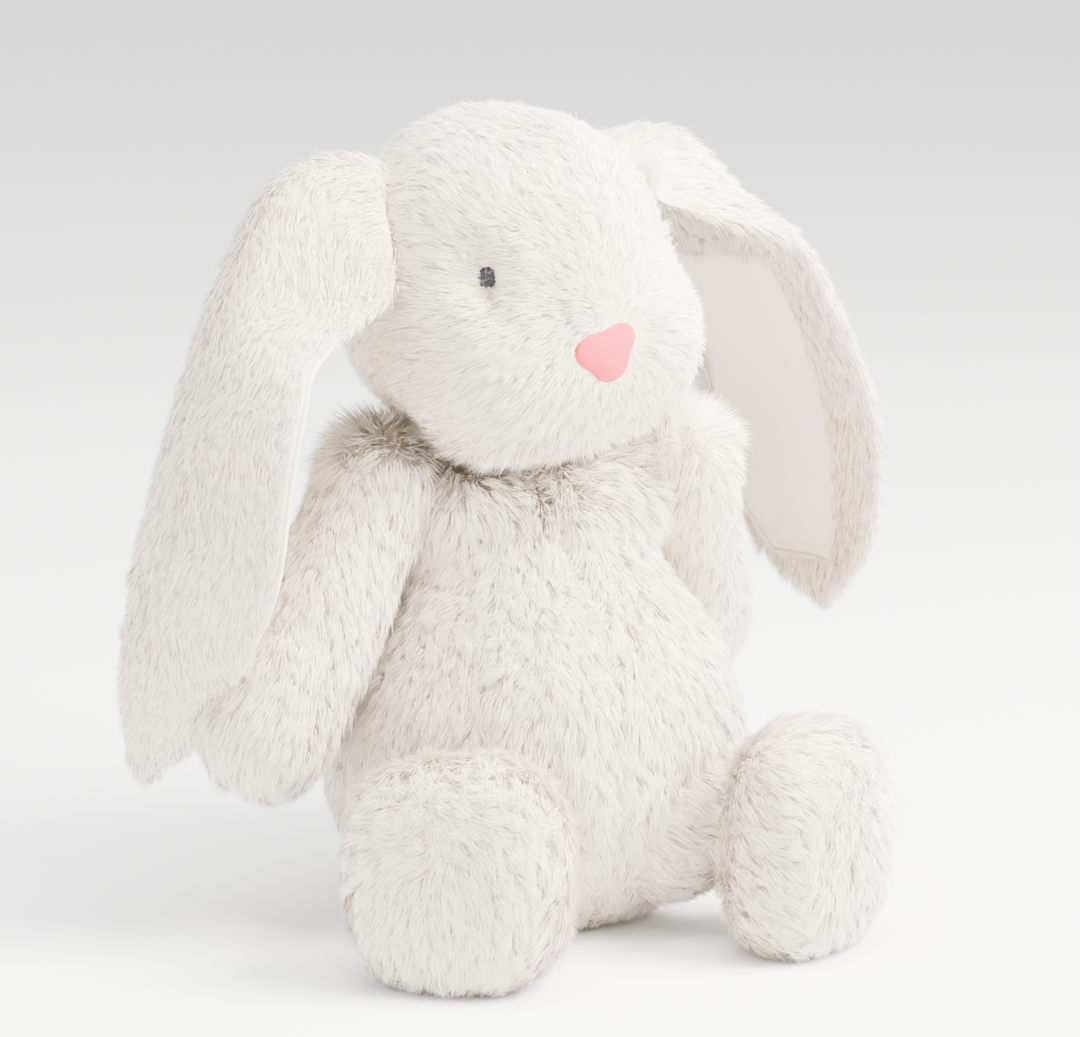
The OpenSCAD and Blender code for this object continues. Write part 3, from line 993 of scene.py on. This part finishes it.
# Nose, eyes and the inner pieces

def onHead(spots, raise_=0.0):
    # Drops points of the head's frame onto the finished head along Y
    hit = []
    tree = forms["head"]["tree"]
    for spot, lift in zip(spots, np.broadcast_to(raise_, len(spots))):
        start = headPlace.out(np.array([[spot[0], -90.0, spot[1]]]))[0] * mm
        way = headTurn @ np.array([0, 1.0, 0])
        found = tree.ray_cast(Vector(start), Vector(way))
        place, normal = np.array(found[0]) / mm, np.array(found[1])
        hit.append(np.concatenate([place + lift * normal, normal]))
    return np.array(hit)


def makeNose(seed):
    rings, around = 9, 48
    turn = np.linspace(0, math.tau, around, endpoint=False)
    edge = noseEdge(turn)
    spots = [(0, nose["height"])]
    lifts = [nose["dome"]]
    for q in np.linspace(0, 1, rings)[1:]:
        across = nose["wide"] * q * edge * np.cos(turn)
        height = nose["height"] + nose["tall"] * q * edge * np.sin(turn)
        spots += list(zip(across, height))
        lifts += [nose["dome"] * (1 - q ** 3) - 0.2] * around
    hit = onHead(spots, np.array(lifts))
    faces = [[0, 1 + (j + 1) % around, 1 + j] for j in range(around)]
    for i in range(rings - 2):
        a, b = 1 + i * around, 1 + (i + 1) * around
        faces += [[a + j, a + (j + 1) % around, b + (j + 1) % around, b + j] for j in range(around)]
    skin = partOf("noseSkin", hit[:, :3], hit[:, 3:], faces)
    points, normals, triangles = skinData(skin)
    rng = np.random.default_rng(seed)
    root, normal = scatter(points, normals, triangles, piles["nose"]["perArea"], rng)
    comb = np.tile(headTurn @ np.array([0, 0, -1.0]), (len(root), 1))
    strands = growStrands(root, normal, comb, piles["nose"], seed)
    piece = furPiece("nosePatch", thicken(skin, 0.8), strands, noseVelour, nosePileWithRootShade)
    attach(piece, "head")
    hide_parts("nose_patch")


def makeEye(s, seed):
    # A small round of crossing embroidery stitches
    side = sides[s]
    rng = np.random.default_rng(seed)
    place = np.array(dimples["eye"]) * (side, 1, 1)
    way = unit(place)
    outside = Vector(headPlace.out(place[None] * 1.6)[0] * mm)
    found = forms["head"]["tree"].ray_cast(outside, Vector(headTurn @ -way))
    centre, normal = np.array(found[0]) / mm, headTurn @ way
    level = unit(np.cross(normal, up))
    rise = np.cross(level, normal)
    bm = bmesh.new()
    count = 64
    for k in range(count):
        angle = rng.uniform(0, math.pi)
        across = rng.uniform(-0.85, 0.85) * 3.7
        reach = math.sqrt(max(3.9 ** 2 - across ** 2, 0.6))
        direction = math.cos(angle) * level + math.sin(angle) * rise
        offset = -math.sin(angle) * level + math.cos(angle) * rise
        length = reach * rng.uniform(0.7, 1.0)
        shift = rng.uniform(-1, 1) * (reach - length) + rng.uniform(-0.2, 0.2)
        path = []
        for q in np.linspace(-1, 1, 7):
            dome = 1.5 * (1 - ((across / 4.2) ** 2 + (q * length / 4.4) ** 2))
            dome += 0.25 * rng.random() + 0.010 * k
            spot = centre + (shift + q * length) * direction + across * offset
            path.append(spot + (dome + 0.5 * (1 - q ** 4)) * normal)
        ringOf(bm, np.array(path), 0.36, 6, k % 5 == 0)
    mesh = bpy.data.meshes.new(f"eye{s.title()}")
    bm.to_mesh(mesh)
    bm.free()
    eyeObj = bpy.data.objects.new(f"eye{s.title()}", mesh)
    bpy.context.scene.collection.objects.link(eyeObj)
    mesh.shade_smooth()
    mesh.materials.append(eyeThread)
    mesh.materials.append(eyeHighlightThread)
    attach(eyeObj, "head")
    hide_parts(f"eye_{s}")


def ringOf(bm, path, radius, around, light=False):
    # A closed tube along a path, tapered at its ends
    rings = []
    for i, p in enumerate(path):
        way = unit(path[min(i + 1, len(path) - 1)] - path[max(i - 1, 0)])
        a = unit(np.cross(way, up + 0.01))
        b = np.cross(way, a)
        r = radius * (0.55 if i in (0, len(path) - 1) else 1.0)
        rings.append([bm.verts.new((p + r * (math.cos(t) * a + math.sin(t) * b)) * mm)
                      for t in np.linspace(0, math.tau, around, endpoint=False)])
    for first, second in zip(rings, rings[1:]):
        for j in range(around):
            face = bm.faces.new((first[j], first[(j + 1) % around], second[(j + 1) % around], second[j]))
            face.material_index = int(light)
    for cap in (rings[0][::-1], rings[-1]):
        bm.faces.new(cap).material_index = int(light)


def treeOf(obj):
    bm = bmesh.new()
    bm.from_mesh(obj.data)
    tree = BVHTree.FromBMesh(bm)
    bm.free()
    return tree


forms["head"]["tree"] = treeOf(forms["head"]["obj"])
makeNose(400)
for s in sides:
    makeEye(s, 410 + sides[s])

fillings = {
    "body": ("bodyStuffing", "torso", "body_stuffing"),
    "head": ("headStuffing", "head", "head_stuffing"),
    "arm_left": ("armStuffingLeft", "arm_left", "arm_stuffing_left"),
    "arm_right": ("armStuffingRight", "arm_right", "arm_stuffing_right"),
    "leg_left": ("legStuffingLeft", "leg_left", "leg_stuffing_left"),
    "leg_right": ("legStuffingRight", "leg_right", "leg_stuffing_right"),
    "tail": ("tailStuffing", "tail", "tail_stuffing"),
}

for key, (name, bodyName, node) in fillings.items():
    # The closed cover itself, drawn in and made lumpy, becomes the loose fibre inside
    obj = forms[key]["obj"]
    points = pointsOf(obj.data)
    normals = np.empty(len(points) * 3, np.float32)
    obj.data.vertex_normals.foreach_get("vector", normals)
    normals = normals.reshape(-1, 3).astype(float)
    lumps = 2.6 + 0.8 * drift(points, 7, 11) + 0.5 * drift(points, 3.5, 12)
    putPoints(obj.data, points - lumps[:, None] * normals)
    obj.data.materials.append(fibreFilling)
    obj.data.shade_smooth()
    obj.name = name
    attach(obj, bodyName)
    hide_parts(node)

gather = dict(radius=14, thick=2.0, pleats=26)


def makeNeckGather():
    # The drawn-in ring of fabric between head and body, with its pleats
    around, section = 208, 10
    turn = np.linspace(0, math.tau, around, endpoint=False)
    tube = np.linspace(0, math.tau, section, endpoint=False)
    ripple = 1 + 0.22 * np.cos(gather["pleats"] * turn)
    points = []
    for t, r in zip(turn, ripple):
        for q in tube:
            out = gather["radius"] + gather["thick"] * r * math.cos(q)
            points.append((out * math.cos(t), out * math.sin(t), gather["thick"] * r * math.sin(q)))
    points = np.array(points) + pivots["neck_turn"]
    faces = []
    for i in range(around):
        here, there = i * section, (i + 1) % around * section
        for j in range(section):
            k = (j + 1) % section
            faces.append([here + j, there + j, there + k, here + k])
    obj = meshFrom("neckGather", points, faces)
    obj.data.shade_smooth()
    # The backing colour here is partly painted shade, as on the fur panels
    obj.data.materials.append(furBackingWithDepthShade)
    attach(obj, "neck")
    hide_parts("neck_gather")


makeNeckGather()
carriedOver = {"closing_stitches": sewingThread, "eye_pull_thread": sewingThread, "pellet_bag": pelletCloth}
for node, material in carriedOver.items():
    cad = frame["nodes"][node]
    cad.data.materials.clear()
    cad.data.materials.append(material)
print("inner pieces made")


# Camera, light and floor

view = dict(target=(0, 0, 0.140), azimuth=-23, elevation=10, distance=1.5, lens=142.9)
lights = [
    dict(name="keyLight", size=1.1, power=230, azimuth=50, elevation=42, distance=1.6,
         colour=(1.0, 0.96, 0.90)),
    dict(name="topLight", size=1.2, power=60, azimuth=-30, elevation=80, distance=1.5,
         colour=(1.0, 1.0, 1.0)),
    dict(name="fillLight", size=1.4, power=7, azimuth=-95, elevation=20, distance=1.7,
         colour=(0.97, 0.985, 1.0)),
]


def around(azimuth, elevation, distance):
    a, e = math.radians(azimuth), math.radians(elevation)
    return Vector(view["target"]) + distance * Vector(
        (math.sin(a) * math.cos(e), -math.cos(a) * math.cos(e), math.sin(e)))


def facing(obj):
    obj.rotation_euler = (Vector(view["target"]) - obj.location).to_track_quat("-Z", "Y").to_euler()


cameraData = bpy.data.cameras.new("camera")
cameraData.lens = view["lens"]
cameraData.sensor_width = 36
camera = bpy.data.objects.new("camera", cameraData)
camera.location = around(view["azimuth"], view["elevation"], view["distance"])
facing(camera)
bpy.context.scene.collection.objects.link(camera)
bpy.context.scene.camera = camera

for spec in lights:
    data = bpy.data.lights.new(spec["name"], "AREA")
    data.shape = "DISK"
    data.size, data.energy, data.color = spec["size"], spec["power"], spec["colour"]
    lamp = bpy.data.objects.new(spec["name"], data)
    lamp.location = around(spec["azimuth"], spec["elevation"], spec["distance"])
    facing(lamp)
    bpy.context.scene.collection.objects.link(lamp)

world = bpy.data.worlds.new("studio")
world.use_nodes = True
world.node_tree.nodes["Background"].inputs["Color"].default_value = (1.0, 1.0, 1.0, 1)
world.node_tree.nodes["Background"].inputs["Strength"].default_value = 2.1
bpy.context.scene.world = world

floorMaterial, floorTree, floorShader = newMaterial("paleFloor", 0.9, 0.0, 0.5, 0.1)
floorEffect = placePatches(floorTree, 2.0, 300.0)
floorTree.links.new(tinted(floorTree, floorEffect.outputs["Patch"], (0.90, 0.90, 0.90), (0.92, 0.92, 0.92)),
                    floorShader.inputs["Base Color"])
floorHalf = 6000
corners = np.array([(-1, -1, 0), (1, -1, 0), (1, 1, 0), (-1, 1, 0)], float)
floor = meshFrom("floor", corners * floorHalf, [[0, 1, 2, 3]])
floor.data.materials.append(floorMaterial)
print("scene lit")
